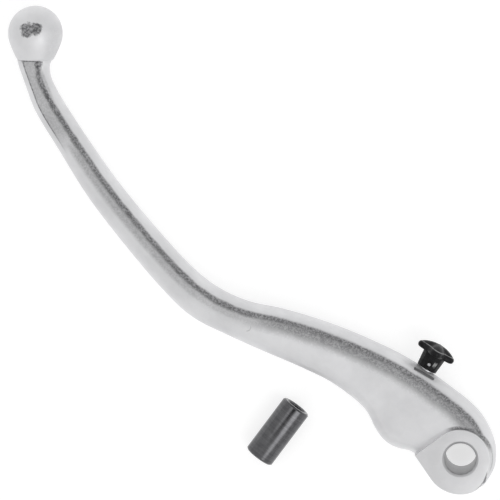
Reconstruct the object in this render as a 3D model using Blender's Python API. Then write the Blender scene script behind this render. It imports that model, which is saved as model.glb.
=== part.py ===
"""Motorcycle clutch lever with a reach adjuster and a loose pivot bush.

Metres, +Z up. The origin is where the pivot axis meets the surface that the lever lies on.
The lever lies flat: the pivot axis is +Z, and the blade reaches towards -X and +Y.
The hand's side is the front edge (+X, +Y), and the handlebar is on the rear side (-X, -Y).
"""
from math import acos, atan2, cos, degrees, hypot, pi, radians, sin

import bmesh
import bpy
from mathutils import Matrix, Vector

MM = 0.001

# Lever, in millimetres until it is built
BOSS_HEIGHT = 20.5
MID_HEIGHT = BOSS_HEIGHT / 2
BORE_RADIUS = 5.1
BORE_CHAMFER = 0.8
PAD_RADIUS = 9.7
NOSE_RADIUS = 11.6
PAD_CORNER = (-14.8, 1.2)
PAD_EDGE = 0.3
BALL_RADIUS = 8.9
BALL_CENTRE = (-138.3, 138.3)
BALL_AXIS = (-0.02, -1.0)
CREST_DISTANCE = 4.8
WEB_SLOPE = 0.13
WEB_EASE = 3.0
EDGE_POWER = 2.4
STEPS_BETWEEN_STATIONS = 2
FRONT_STEPS = 5
WEB_STEPS = 3
REAR_STEPS = 4

# Front edge x, y, rear edge x, y and half thickness, from the ball to the nose of the boss
STATIONS = (
    (-133.5, 134.0, -143.6, 134.0, 4.4),
    (-132.9, 130.2, -144.3, 130.2, 4.5),
    (-133.7, 127.6, -143.7, 127.2, 4.6),
    (-133.5, 124.6, -142.6, 124.0, 4.65),
    (-132.4, 121.6, -141.1, 119.6, 4.7),
    (-129.4, 116.1, -138.2, 112.2, 4.8),
    (-122.9, 105.9, -131.3, 100.7, 5.1),
    (-112.5, 90.8, -121.4, 84.6, 5.5),
    (-101.2, 76.7, -109.7, 69.2, 5.9),
    (-88.9, 63.0, -97.3, 54.5, 6.2),
    (-79.9, 55.5, -87.7, 45.5, 6.4),
    (-69.6, 50.6, -75.7, 39.3, 6.6),
    (-58.1, 48.0, -63.9, 34.0, 6.9),
    (-45.6, 44.3, -52.7, 29.2, 7.3),
    (-33.8, 39.8, -41.7, 23.7, 7.7),
    (-22.1, 34.4, -31.8, 15.9, 8.1),
    (-14.8, 30.3, -28.0, 9.2, 8.4),
    (-9.0, 26.6, -25.2, 4.8, 8.6),
    (-3.2, 22.3, -20.6, 2.5, 8.8),
    (2.4, 17.9, -16.2, 1.4, 9.0),
    (6.7, 13.5, -12.6, -2.0, 9.1),
    (9.5, 8.7, -9.6, -5.8, 9.1),
    (11.2, 4.0, -6.4, -9.4, 9.1),
    (11.6, 0.0, -3.0, -11.1, 9.1),
    (11.1, -3.5, 0.5, -11.5, 9.0),
    (9.9, -6.0, 3.6, -11.0, 8.8),
    (8.7, -7.6, 6.1, -9.8, 8.4),
)

# Ball end, turned about its own axis: distance from the centre towards the blade, radius
BALL_TAPER = ((1.6, 8.82), (3.25, 8.40), (5.2, 7.62), (7.1, 6.75), (8.6, 5.95))

# Pivot bush, lying beside the lever
BUSH_RADIUS = 5.0
BUSH_BORE_RADIUS = 3.1
BUSH_LENGTH = 21.0
BUSH_CHAMFER = 0.5
BUSH_CENTRE = (-60.2, 6.8)
BUSH_DIRECTION = (0.60, 0.80)

# Adjuster: depths are measured along its axis from the knob's base, outwards positive
ADJUSTER_BASE = (-11.2, 28.45)
ADJUSTER_DIRECTION = (0.51, 0.86)
SEAT_RADIUS = 4.2
SEAT_DEPTH = -0.3
SHANK_BORE_RADIUS = 2.75
CUP_BORE_RADIUS = 4.3
CUP_BORE_TOP = -13.0
SHANK_RADIUS = 2.5
THREAD_PITCH = 0.8
THREAD_DEPTH = 0.35
THREAD_TOP = -15.2
SCREW_TOP = 6.0
SCREW_TIP = -22.0
PLATE_DEPTH = -1.25
PLATE_THICKNESS = 0.5
PLATE_WIDTH = 7.0
SLOT_THICKNESS = 0.7
SLOT_WIDTH = 7.4
DETENT_DEPTH = -6.0
DETENT_BALL_RADIUS = 1.2
DETENT_BALL_DROP = 3.85
DETENT_BORE_RADIUS = 1.35
PLUG_BORE_RADIUS = 1.85
PLUG_RADIUS = 1.75
PLUG_TOP = -6.6
PLUG_BOTTOM = -7.9
SPRING_RADIUS = 0.85
SPRING_WIRE = 0.16
SPRING_LENGTH = 1.0
SPRING_TURNS = 2.5
SPRING_DROP = 6.3
CROSS_BORE_TOP = -2
CROSS_BORE_END = -12
COLLAR_RADIUS = 3.9
O_RING_DEPTH = -3.6
O_RING_RADIUS = 2.35
O_RING_SECTION = 0.3
PIN_HEIGHT = 1.9
PIN_RADIUS = 0.6
KNOB_TOP = 9.0
KNOB_TIP_RADIUS = 6.6
KNOB_VALLEY_RADIUS = 4.25
KNOB_DOME = 1.9
KNOB_RIM = 2.2
KNOB_FACETS = 12
KNOB_LOBES = 4
BARREL_BASE_RADIUS = 3.5
BARREL_TOP_RADIUS = 4.0
BARREL_TOP = 5.2
CUP_RADIUS = 4.1
CUP_FRONT = -16.2
CUP_REAR = -25.4
SOCKET_END = -23.6
SEAT_BALL_RADIUS = 2.6
SEAT_DISH = 1.1
KEY_DEPTH = -20.5
KEY_RADIUS = 1.0
KEY_BOTTOM = -6.3
KEY_TOP = -3.35


# ---------------------------------------------------------------- helpers

def clear_scene():
    for obj in list(bpy.data.objects):
        bpy.data.objects.remove(obj, do_unlink=True)


def material(name, colour, metallic, roughness):
    mat = bpy.data.materials.new(name)
    mat.use_nodes = True
    shader = mat.node_tree.nodes["Principled BSDF"]
    shader.inputs["Base Color"].default_value = (*colour, 1.0)
    shader.inputs["Metallic"].default_value = metallic
    shader.inputs["Roughness"].default_value = roughness
    return mat


def finish_mesh(bm, name, mat=None, smooth_angle=35.0):
    """Scale the mesh from millimetres to metres and link it as an object."""
    bmesh.ops.recalc_face_normals(bm, faces=bm.faces)
    bmesh.ops.scale(bm, vec=(MM, MM, MM), verts=bm.verts)
    mesh = bpy.data.meshes.new(name)
    bm.to_mesh(mesh)
    bm.free()
    mesh.shade_smooth()
    mesh.set_sharp_from_angle(angle=radians(smooth_angle))
    obj = bpy.data.objects.new(name, mesh)
    bpy.context.scene.collection.objects.link(obj)
    if mat:
        mesh.materials.append(mat)
    return obj


def bridge(bm, lower, upper):
    """Join two closed rings of the same number of vertices."""
    count = len(lower)
    for i in range(count):
        j = (i + 1) % count
        bm.faces.new((lower[i], lower[j], upper[j], upper[i]))


def turned(profile, segments, shape=None):
    """Turn (radius, height) points about Z. A radius of 0 closes the end; else it is a ring.

    shape(angle, radius, height) may change the radius round the turn.
    """
    bm = bmesh.new()
    rings = []
    for radius, height in profile:
        if radius == 0:
            rings.append([bm.verts.new((0, 0, height))])
            continue
        ring = []
        for k in range(segments):
            angle = 2 * pi * k / segments
            r = shape(angle, radius, height) if shape else radius
            ring.append(bm.verts.new((r * cos(angle), r * sin(angle), height)))
        rings.append(ring)
    pairs = list(zip(rings, rings[1:]))
    if profile[0][0] != 0:
        pairs.append((rings[-1], rings[0]))
    for lower, upper in pairs:
        if len(lower) == 1:
            for k in range(segments):
                bm.faces.new((lower[0], upper[k], upper[(k + 1) % segments]))
        elif len(upper) == 1:
            for k in range(segments):
                bm.faces.new((upper[0], lower[k], lower[(k + 1) % segments]))
        else:
            bridge(bm, lower, upper)
    return bm


def prism(outline, low, high):
    """A straight prism on a closed (x, y) outline."""
    bm = bmesh.new()
    lower = [bm.verts.new((x, y, low)) for x, y in outline]
    upper = [bm.verts.new((x, y, high)) for x, y in outline]
    bridge(bm, lower, upper)
    bm.faces.new(lower)
    bm.faces.new(upper)
    return bm


def combine(obj, other, operation):
    """Cut other from obj, or join it on, and keep other as a hidden guide."""
    other.hide_render = True
    other.display_type = "WIRE"
    modifier = obj.modifiers.new(other.name, "BOOLEAN")
    modifier.operation = operation
    modifier.solver = "EXACT"
    modifier.object = other


def place(obj, parent, matrix=None):
    obj.parent = parent
    if matrix:
        obj.matrix_local = matrix


def empty(name, matrix):
    obj = bpy.data.objects.new(name, None)
    bpy.context.scene.collection.objects.link(obj)
    obj.matrix_world = matrix
    return obj


def across(depth, drop=0.0):
    """Place a part whose Z points up, at a depth on the adjuster's axis, in its frame."""
    turn = Matrix(((0, 0, 1), (1, 0, 0), (0, 1, 0))).to_4x4()
    return Matrix.Translation((-drop * MM, 0, depth * MM)) @ turn


# ---------------------------------------------------------------- lever body

def spline(points, steps):
    """Catmull-Rom curve through tuples of any length."""
    result = []
    for i in range(len(points) - 1):
        before = points[max(i - 1, 0)]
        start = points[i]
        end = points[i + 1]
        after = points[min(i + 2, len(points) - 1)]
        for k in range(steps):
            t = k / steps
            result.append(tuple(
                0.5 * (2 * b + (c - a) * t + (2 * a - 5 * b + 4 * c - d) * t * t
                       + (3 * b - a - 3 * c + d) * t ** 3)
                for a, b, c, d in zip(before, start, end, after)))
    result.append(points[-1])
    return result


def section_half(width, half_thickness):
    """Top half of a cross-section as (distance from the front edge, height) points.

    The front is a round bead with its crest near the front edge. Behind the crest a wide
    section falls gently to a smaller rear edge, and a narrow one is a plain oval.
    """
    crest = min(CREST_DISTANCE, 0.45 * width)
    rear = min(width - crest, max(3.5, 7.7 - 0.49 * (width - 12.5)))
    power = 2 / EDGE_POWER

    def fall(u):
        d = max(0.0, u - crest)
        return WEB_SLOPE * d * d / (d + WEB_EASE)

    points = []
    for k in range(FRONT_STEPS + 1):
        angle = pi / 2 * k / FRONT_STEPS
        points.append((crest * (1 - max(0.0, cos(angle)) ** power), sin(angle) ** power))
    flat = width - rear - crest
    for k in range(1, WEB_STEPS + 1):
        points.append((crest + max(flat, 0.3) * k / (WEB_STEPS + 1), 1.0))
    for k in range(REAR_STEPS + 1):
        angle = pi / 2 * k / REAR_STEPS
        u = width - rear + rear * sin(angle) ** power
        points.append((max(u, crest + 0.4), max(0.0, cos(angle)) ** power))
    return [(u, (half_thickness - fall(u)) * factor) for u, factor in points]


def blade_middle(x):
    """Height of the blade's middle: it drops a little so that the ball also touches down."""
    t = min(1.0, max(0.0, (x - BALL_CENTRE[0]) / 60.0))
    return BALL_RADIUS + (MID_HEIGHT - BALL_RADIUS) * t * t * (3 - 2 * t)


def loft_blade():
    bm = bmesh.new()
    rings = []
    for fx, fy, rx, ry, half in spline(STATIONS, STEPS_BETWEEN_STATIONS):
        width = hypot(rx - fx, ry - fy)
        middle = blade_middle((fx + rx) / 2)
        top = section_half(width, half)
        loop = [(u, z) for u, z in top] + [(u, -z) for u, z in reversed(top[1:-1])]
        rings.append([
            bm.verts.new((fx + (rx - fx) * u / width, fy + (ry - fy) * u / width, middle + z))
            for u, z in loop])
    for lower, upper in zip(rings, rings[1:]):
        bridge(bm, lower, upper)
    bm.faces.new(rings[0])
    bm.faces.new(rings[-1])
    return bm


def pad_outline():
    """Raised pad round the bore: arcs joined by two tangents to the corner on the web's side."""
    corner_angle = atan2(PAD_CORNER[1], PAD_CORNER[0])
    corner_distance = hypot(*PAD_CORNER)
    upper = degrees(corner_angle - acos(PAD_RADIUS / corner_distance))
    lower = degrees(corner_angle + acos(NOSE_RADIUS / corner_distance)) - 360
    steps = 40
    points = [PAD_CORNER]
    for k in range(steps + 1):
        angle = upper + (lower - upper) * k / steps
        t = min(1.0, max(0.0, (-20 - angle) / 55))
        radius = PAD_RADIUS + (NOSE_RADIUS - PAD_RADIUS) * t * t * (3 - 2 * t)
        points.append((radius * cos(radians(angle)), radius * sin(radians(angle))))
    return points


def boss_block():
    """The pads on both faces and the full-height wall between them, with a small edge chamfer."""
    outline = pad_outline()
    bm = bmesh.new()
    rings = []
    for height, inset in ((0, PAD_EDGE), (PAD_EDGE, 0), (BOSS_HEIGHT - PAD_EDGE, 0),
                          (BOSS_HEIGHT, PAD_EDGE)):
        ring = []
        for x, y in outline:
            keep = 1 - inset / hypot(x, y)
            ring.append(bm.verts.new((x * keep, y * keep, height)))
        rings.append(ring)
    for lower, upper in zip(rings, rings[1:]):
        bridge(bm, lower, upper)
    bm.faces.new(rings[0])
    bm.faces.new(rings[-1])
    return bm


def ball_end():
    """A ball that tapers towards the blade and ends in a small step."""
    profile = [(0, -BALL_RADIUS)]
    steps = 9
    for k in range(1, steps + 1):
        angle = pi / 2 * k / steps
        profile.append((BALL_RADIUS * sin(angle), -BALL_RADIUS * cos(angle)))
    profile += [(radius, distance) for distance, radius in BALL_TAPER]
    profile.append((0, BALL_TAPER[-1][0]))
    end = finish_mesh(turned(profile, 32), "ball_end")
    turn = Vector((*BALL_AXIS, 0)).to_track_quat("Z", "Y").to_matrix().to_4x4()
    end.matrix_world = Matrix.Translation(Vector((*BALL_CENTRE, BALL_RADIUS)) * MM) @ turn
    return end


def pivot_bore():
    wide = BORE_RADIUS + BORE_CHAMFER + 1
    return turned(((0, -1), (wide, -1), (BORE_RADIUS, BORE_CHAMFER),
                   (BORE_RADIUS, BOSS_HEIGHT - BORE_CHAMFER), (wide, BOSS_HEIGHT + 1),
                   (0, BOSS_HEIGHT + 1)), 48)


def adjuster_bore():
    """Spot face for the knob, bore for the screw's shank and wider bore for the cup."""
    return turned(((0, -36), (CUP_BORE_RADIUS, -36), (CUP_BORE_RADIUS, CUP_BORE_TOP),
                   (SHANK_BORE_RADIUS, CUP_BORE_TOP), (SHANK_BORE_RADIUS, SEAT_DEPTH),
                   (SEAT_RADIUS, SEAT_DEPTH), (SEAT_RADIUS, 6), (0, 6)), 32)


def plate_slot():
    half = SLOT_THICKNESS / 2
    outline = ((-5.6, -SLOT_WIDTH / 2), (14, -SLOT_WIDTH / 2),
               (14, SLOT_WIDTH / 2), (-5.6, SLOT_WIDTH / 2))
    return prism(outline, PLATE_DEPTH - half, PLATE_DEPTH + half)


def detent_bore():
    """Bore for the ball and spring, wider below for the plug."""
    shoulder = PLUG_TOP + 0.1
    return turned(((0, CROSS_BORE_END), (PLUG_BORE_RADIUS, CROSS_BORE_END),
                   (PLUG_BORE_RADIUS, shoulder), (DETENT_BORE_RADIUS, shoulder),
                   (DETENT_BORE_RADIUS, CROSS_BORE_TOP), (0, CROSS_BORE_TOP)), 20)


def key_bore():
    radius = KEY_RADIUS + 0.1
    return turned(((0, CROSS_BORE_END), (radius, CROSS_BORE_END), (radius, CROSS_BORE_TOP),
                   (0, CROSS_BORE_TOP)), 16)


def build_lever(adjuster, aluminium):
    body = finish_mesh(loft_blade(), "lever_body", aluminium)
    combine(body, ball_end(), "UNION")
    combine(body, finish_mesh(boss_block(), "boss_pads"), "UNION")
    combine(body, finish_mesh(pivot_bore(), "pivot_bore"), "DIFFERENCE")
    for shape, name, matrix in (
            (adjuster_bore(), "adjuster_bore", None),
            (plate_slot(), "plate_slot", None),
            (detent_bore(), "detent_bore", across(DETENT_DEPTH)),
            (key_bore(), "key_bore", across(KEY_DEPTH))):
        cutter = finish_mesh(shape, name)
        place(cutter, adjuster, matrix)
        combine(body, cutter, "DIFFERENCE")
    return body


# ---------------------------------------------------------------- pivot bush

def build_bush(steel):
    half = BUSH_LENGTH / 2
    ring = []
    for side in (-1, 1):
        ends = [(BUSH_BORE_RADIUS, side * (half - BUSH_CHAMFER)),
                (BUSH_BORE_RADIUS + BUSH_CHAMFER, side * half),
                (BUSH_RADIUS - BUSH_CHAMFER, side * half),
                (BUSH_RADIUS, side * (half - BUSH_CHAMFER))]
        ring += ends if side < 0 else ends[::-1]
    bush = finish_mesh(turned(ring, 48), "pivot_bush", steel)
    direction = Vector((*BUSH_DIRECTION, 0)).normalized()
    turn = direction.to_track_quat("Z", "Y").to_matrix().to_4x4()
    spot = Matrix.Translation(Vector((*BUSH_CENTRE, BUSH_RADIUS)) * MM)
    bush.matrix_world = spot @ turn
    return bush


# ---------------------------------------------------------------- adjuster

def adjuster_frame():
    """An empty at the knob's base: its Z runs out along the axis, and its X points up."""
    outward = Vector((*ADJUSTER_DIRECTION, 0)).normalized()
    up = Vector((0, 0, 1))
    turn = Matrix((up, outward.cross(up), outward)).transposed().to_4x4()
    spot = Vector((*ADJUSTER_BASE, MID_HEIGHT)) * MM
    return empty("adjuster_axis", Matrix.Translation(spot) @ turn)


def build_screw(adjuster, steel):
    """Shank with a plate groove, an O-ring groove, a fluted detent ring, a collar and a thread."""
    profile = [(0, SCREW_TOP), (2.1, SCREW_TOP), (SHANK_RADIUS, SCREW_TOP - 0.4)]
    for centre, half, radius in ((PLATE_DEPTH, 0.42, 1.9), (O_RING_DEPTH, 0.45, 1.95)):
        profile += [(SHANK_RADIUS, centre + half), (radius, centre + half),
                    (radius, centre - half), (SHANK_RADIUS, centre - half)]
    detent_top = DETENT_DEPTH + 1.0
    detent_low = DETENT_DEPTH - 1.0
    profile += [(SHANK_RADIUS, detent_top), (SHANK_RADIUS, detent_top - 0.3),
                (SHANK_RADIUS, detent_low + 0.3), (SHANK_RADIUS, detent_low)]
    collar_top = CUP_BORE_TOP - 0.2
    collar_low = CUP_BORE_TOP - 1.6
    profile += [(SHANK_RADIUS, collar_top), (COLLAR_RADIUS, collar_top), (COLLAR_RADIUS, collar_low),
                (SHANK_RADIUS, collar_low), (SHANK_RADIUS, THREAD_TOP)]
    turns = int((THREAD_TOP - SCREW_TIP - 0.5) / THREAD_PITCH)
    for k in range(turns):
        top = THREAD_TOP - k * THREAD_PITCH
        profile += [(SHANK_RADIUS - THREAD_DEPTH, top - THREAD_PITCH / 2),
                    (SHANK_RADIUS, top - THREAD_PITCH)]
    profile += [(1.9, SCREW_TIP), (0, SCREW_TIP)]

    def flutes(angle, radius, height):
        fluted = detent_low + 0.2 < height < detent_top - 0.2
        return radius - 0.15 * (1 - cos(8 * angle)) if fluted else radius

    screw = finish_mesh(turned(profile, 24, flutes), "adjuster_screw", steel)
    place(screw, adjuster)
    cut_pin_hole(screw, adjuster)
    return screw


def knob_outline(angle, radius, height):
    """Faceted barrel below, lobed head above: the head's radii are fractions of the lobe's."""
    facet = 2 * pi / KNOB_FACETS
    offset = (angle + facet / 2) % facet - facet / 2
    barrel = cos(facet / 2) / cos(offset)
    if height <= BARREL_TOP:
        return radius * barrel
    swell = (0.5 + 0.5 * cos(KNOB_LOBES * angle)) ** 1.1
    lobe = KNOB_VALLEY_RADIUS + (KNOB_TIP_RADIUS - KNOB_VALLEY_RADIUS) * swell
    return max(radius * lobe, 0.2)


def build_knob(adjuster, plastic):
    """Barrel and head, with a blind hole for the screw. The head droops like a shallow dome."""
    barrel = [(BARREL_BASE_RADIUS - 0.15, 0), (BARREL_BASE_RADIUS, 0.25),
              (BARREL_TOP_RADIUS, BARREL_TOP)]
    under = KNOB_TOP - KNOB_DOME - KNOB_RIM
    head = [(0.90, under + 0.35), (0.98, under + 0.8), (1.0, under + 1.4),
            (0.975, under + 1.95), (0.90, under + 2.45), (0.70, KNOB_TOP - 0.9),
            (0.45, KNOB_TOP - 0.35), (0.2, KNOB_TOP - 0.05)]
    profile = [(0, 0)] + barrel + head + [(0, KNOB_TOP)]
    knob = finish_mesh(turned(profile, 48, knob_outline), "adjuster_knob", plastic, 30.0)
    place(knob, adjuster)
    hole = finish_mesh(turned(((0, -1), (2.6, -1), (2.6, SCREW_TOP + 0.3),
                               (0, SCREW_TOP + 0.3)), 24), "knob_hole")
    place(hole, adjuster)
    combine(knob, hole, "DIFFERENCE")
    cut_pin_hole(knob, adjuster)
    return knob


def cut_pin_hole(obj, adjuster):
    radius = PIN_RADIUS + 0.08
    hole = finish_mesh(turned(((0, -6), (radius, -6), (radius, 6), (0, 6)), 16),
                       obj.name + "_pin_hole")
    place(hole, adjuster, across(PIN_HEIGHT))
    combine(obj, hole, "DIFFERENCE")


def build_knob_pin(adjuster, steel):
    half = BARREL_BASE_RADIUS - 0.2
    profile = ((0, -half), (PIN_RADIUS - 0.1, -half), (PIN_RADIUS, 0.15 - half),
               (PIN_RADIUS, half - 0.15), (PIN_RADIUS - 0.1, half), (0, half))
    pin = finish_mesh(turned(profile, 16), "knob_pin", steel)
    place(pin, adjuster, across(PIN_HEIGHT))
    return pin


def build_retaining_plate(adjuster, steel):
    """A flat fork in the lever's slot: it drops over the groove in the screw's shank."""
    half = PLATE_WIDTH / 2
    throat = 2.0
    outline = [(5.5, -half), (5.5, half), (-5.2, half), (-5.2, throat)]
    steps = 10
    for k in range(steps + 1):
        angle = pi / 2 - pi * k / steps
        outline.append((throat * cos(angle), throat * sin(angle)))
    outline += [(-5.2, -throat), (-5.2, -half)]
    thin = PLATE_THICKNESS / 2
    plate = finish_mesh(prism(outline, PLATE_DEPTH - thin, PLATE_DEPTH + thin),
                        "retaining_plate", steel)
    place(plate, adjuster)
    return plate


def build_o_ring(adjuster, rubber):
    sides = 8
    profile = []
    for k in range(sides):
        angle = 2 * pi * k / sides
        profile.append((O_RING_RADIUS + O_RING_SECTION * cos(angle),
                        O_RING_DEPTH + O_RING_SECTION * sin(angle)))
    ring = finish_mesh(turned(profile, 24), "shank_o_ring", rubber, 60.0)
    place(ring, adjuster)
    return ring


def build_cup(adjuster, steel):
    """Sliding nut: threaded socket in front, round seat for the push rod behind, keyway below."""
    hole = SHANK_RADIUS + 0.1
    profile = [(0, SOCKET_END), (hole - 0.7, SOCKET_END), (hole, SOCKET_END + 0.6),
               (hole, CUP_FRONT), (CUP_RADIUS - 0.3, CUP_FRONT), (CUP_RADIUS, CUP_FRONT - 0.3),
               (CUP_RADIUS, CUP_REAR + 0.4), (CUP_RADIUS - 0.4, CUP_REAR),
               (SEAT_BALL_RADIUS, CUP_REAR)]
    for share in (0.8, 0.54, 0.27):
        profile.append((SEAT_BALL_RADIUS * share, CUP_REAR + SEAT_DISH * (1 - share ** 2)))
    profile.append((0, CUP_REAR + SEAT_DISH))
    cup = finish_mesh(turned(profile, 32), "push_rod_cup", steel)
    place(cup, adjuster)
    side = KEY_RADIUS + 0.2
    keyway = finish_mesh(prism(((-6, -side), (-3.1, -side), (-3.1, side), (-6, side)), -30, -10),
                         "cup_keyway")
    place(keyway, adjuster)
    combine(cup, keyway, "DIFFERENCE")
    return cup


def build_key_pin(adjuster, steel):
    edge = 0.2
    profile = ((0, KEY_BOTTOM), (KEY_RADIUS - edge, KEY_BOTTOM), (KEY_RADIUS, KEY_BOTTOM + edge),
               (KEY_RADIUS, KEY_TOP - edge), (KEY_RADIUS - edge, KEY_TOP), (0, KEY_TOP))
    pin = finish_mesh(turned(profile, 16), "cup_key_pin", steel)
    place(pin, adjuster, across(KEY_DEPTH))
    return pin


def build_detent(adjuster, steel):
    """Ball, spring and threaded plug, in a bore below the shank."""
    bm = bmesh.new()
    bmesh.ops.create_uvsphere(bm, u_segments=16, v_segments=10, radius=DETENT_BALL_RADIUS)
    detent_ball = finish_mesh(bm, "detent_ball", steel, 60.0)
    place(detent_ball, adjuster, across(DETENT_DEPTH, DETENT_BALL_DROP))
    spring = finish_mesh(coil(SPRING_RADIUS, SPRING_WIRE, SPRING_LENGTH, SPRING_TURNS),
                         "detent_spring", steel, 60.0)
    place(spring, adjuster, across(DETENT_DEPTH, SPRING_DROP))
    edge = 0.15
    socket = 1.0
    socket_top = PLUG_BOTTOM + 0.6
    profile = ((0, socket_top), (socket, socket_top), (socket, PLUG_BOTTOM),
               (PLUG_RADIUS - edge, PLUG_BOTTOM), (PLUG_RADIUS, PLUG_BOTTOM + edge),
               (PLUG_RADIUS, PLUG_TOP - edge), (PLUG_RADIUS - edge, PLUG_TOP), (0, PLUG_TOP))
    plug = finish_mesh(turned(profile, 20), "detent_plug", steel)
    place(plug, adjuster, across(DETENT_DEPTH))


def coil(radius, wire, rise, turns):
    """A closed helical tube about Z, from height 0 to rise."""
    bm = bmesh.new()
    sides = 6
    steps = int(turns * 14)
    rings = []
    for k in range(steps + 1):
        angle = 2 * pi * turns * k / steps
        ring = []
        for s in range(sides):
            spin = 2 * pi * s / sides
            r = radius + wire * cos(spin)
            ring.append(bm.verts.new((r * cos(angle), r * sin(angle),
                                      rise * k / steps + wire * sin(spin))))
        rings.append(ring)
    for lower, upper in zip(rings, rings[1:]):
        bridge(bm, lower, upper)
    bm.faces.new(rings[0])
    bm.faces.new(rings[-1])
    return bm


def main():
    clear_scene()
    aluminium = material("cast_aluminium", (0.78, 0.78, 0.79), 1.0, 0.28)
    dark_steel = material("dark_steel", (0.13, 0.13, 0.14), 1.0, 0.35)
    steel = material("bright_steel", (0.55, 0.55, 0.56), 1.0, 0.3)
    plastic = material("black_plastic", (0.02, 0.02, 0.022), 0.0, 0.35)
    rubber = material("black_rubber", (0.015, 0.015, 0.015), 0.0, 0.7)
    adjuster = adjuster_frame()
    build_lever(adjuster, aluminium)
    build_bush(dark_steel)
    build_screw(adjuster, steel)
    build_knob(adjuster, plastic)
    build_knob_pin(adjuster, steel)
    build_retaining_plate(adjuster, steel)
    build_o_ring(adjuster, rubber)
    build_cup(adjuster, steel)
    build_key_pin(adjuster, steel)
    build_detent(adjuster, steel)


main()
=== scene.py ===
"""Finished look of a motorcycle clutch lever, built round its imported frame.

Lengths in the shape tables are in millimetres, in the frame's axes. The lever lies flat with its
pivot axis along +Z through the origin. Its hand's side is the front edge (+X, +Y).
"""
from math import acos, atan2, cos, degrees, hypot, pi, radians, sin

import bmesh
import bpy
from mathutils import Matrix, Vector, kdtree


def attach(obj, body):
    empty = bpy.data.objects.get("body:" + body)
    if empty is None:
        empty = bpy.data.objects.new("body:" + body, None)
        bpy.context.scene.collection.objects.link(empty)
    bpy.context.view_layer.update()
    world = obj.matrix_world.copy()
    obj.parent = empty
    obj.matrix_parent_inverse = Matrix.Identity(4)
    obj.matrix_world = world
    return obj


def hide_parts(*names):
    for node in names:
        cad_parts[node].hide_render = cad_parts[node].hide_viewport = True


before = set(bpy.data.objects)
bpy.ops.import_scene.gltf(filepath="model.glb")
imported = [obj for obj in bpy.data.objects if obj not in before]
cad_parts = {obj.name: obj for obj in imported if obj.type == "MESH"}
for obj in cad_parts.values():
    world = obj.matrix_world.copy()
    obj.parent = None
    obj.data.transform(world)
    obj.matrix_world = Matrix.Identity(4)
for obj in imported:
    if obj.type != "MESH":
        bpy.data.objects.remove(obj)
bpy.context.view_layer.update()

MM = 0.001

# Lever
BOSS_HEIGHT = 20.5
MID_HEIGHT = BOSS_HEIGHT / 2
BORE_RADIUS = 5.1
PAD_RADIUS = 9.7
NOSE_RADIUS = 11.6
PAD_CORNER = (-14.8, 1.2)
BALL_RADIUS = 8.9
BALL_CENTRE = (-138.3, 138.3)
BALL_AXIS = (-0.02, -1.0)
CREST_DISTANCE = 4.8
WEB_SLOPE = 0.13
WEB_EASE = 3.0
EDGE_POWER = 2.4
STEPS_BETWEEN_STATIONS = 9
FRONT_STEPS = 14
WEB_STEPS = 12
REAR_STEPS = 12

# Front edge x, y, rear edge x, y and half thickness, from the ball to the nose of the boss
STATIONS = (
    (-133.5, 134.0, -143.6, 134.0, 4.4),
    (-132.9, 130.2, -144.3, 130.2, 4.5),
    (-133.7, 127.6, -143.7, 127.2, 4.6),
    (-133.5, 124.6, -142.6, 124.0, 4.65),
    (-132.4, 121.6, -141.1, 119.6, 4.7),
    (-129.4, 116.1, -138.2, 112.2, 4.8),
    (-122.9, 105.9, -131.3, 100.7, 5.1),
    (-112.5, 90.8, -121.4, 84.6, 5.5),
    (-101.2, 76.7, -109.7, 69.2, 5.9),
    (-88.9, 63.0, -97.3, 54.5, 6.2),
    (-79.9, 55.5, -87.7, 45.5, 6.4),
    (-69.6, 50.6, -75.7, 39.3, 6.6),
    (-58.1, 48.0, -63.9, 34.0, 6.9),
    (-45.6, 44.3, -52.7, 29.2, 7.3),
    (-33.8, 39.8, -41.7, 23.7, 7.7),
    (-22.1, 34.4, -31.8, 15.9, 8.1),
    (-14.8, 30.3, -28.0, 9.2, 8.4),
    (-9.0, 26.6, -25.2, 4.8, 8.6),
    (-3.2, 22.3, -20.6, 2.5, 8.8),
    (2.4, 17.9, -16.2, 1.4, 9.0),
    (6.7, 13.5, -12.6, -2.0, 9.1),
    (9.5, 8.7, -9.6, -5.8, 9.1),
    (11.2, 4.0, -6.4, -9.4, 9.1),
    (11.55, 0.0, -3.0, -11.1, 9.1),
    (11.1, -3.5, 0.5, -11.5, 9.0),
    (9.9, -6.0, 3.6, -11.0, 8.8),
    (8.7, -7.6, 6.1, -9.8, 8.4),
)

# Ball end, turned about its own axis: distance from the centre towards the blade, radius
BALL_TAPER = ((1.6, 8.82), (3.25, 8.40), (5.2, 7.62), (7.1, 6.75), (8.5, 5.98), (8.75, 5.6))

# Adjuster: depths are measured along its axis from the knob's base, outwards positive
ADJUSTER_BASE = (-11.2, 28.45)
ADJUSTER_DIRECTION = (0.51, 0.86)
CUP_BORE_RADIUS = 4.3
CUP_BORE_TOP = -13.0
CUP_BORE_END = -36
SHANK_BORE_RADIUS = 2.75
KNOB_SEAT_RADIUS = 4.2
KNOB_SEAT_FLOOR = -0.3
SLOT_HALF_WIDTH = 3.7
SLOT_BACK = -5.6
SLOT_FRONT = 14
SLOT_FLOOR = -1.6
SLOT_ROOF = -0.9
DETENT_DEPTH = -6.0
DETENT_PLUG_RADIUS = 1.85
DETENT_PLUG_END = -6.5
DETENT_BORE_RADIUS = 1.35
KEY_DEPTH = -20.5
KEY_BORE_RADIUS = 1.1

# Knob: heights above its base
KNOB_HEIGHT = 9.0
KNOB_CROWN = 1.9
KNOB_HEAD = 2.2
KNOB_BARREL_TOP = 5.2
KNOB_LOBES = 4
KNOB_FACETS = 12
KNOB_HOLE_RADIUS = 2.6
KNOB_HOLE_TOP = 6.3
KNOB_PIN_RADIUS = 0.68
KNOB_PIN_HEIGHT = 1.9

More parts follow.
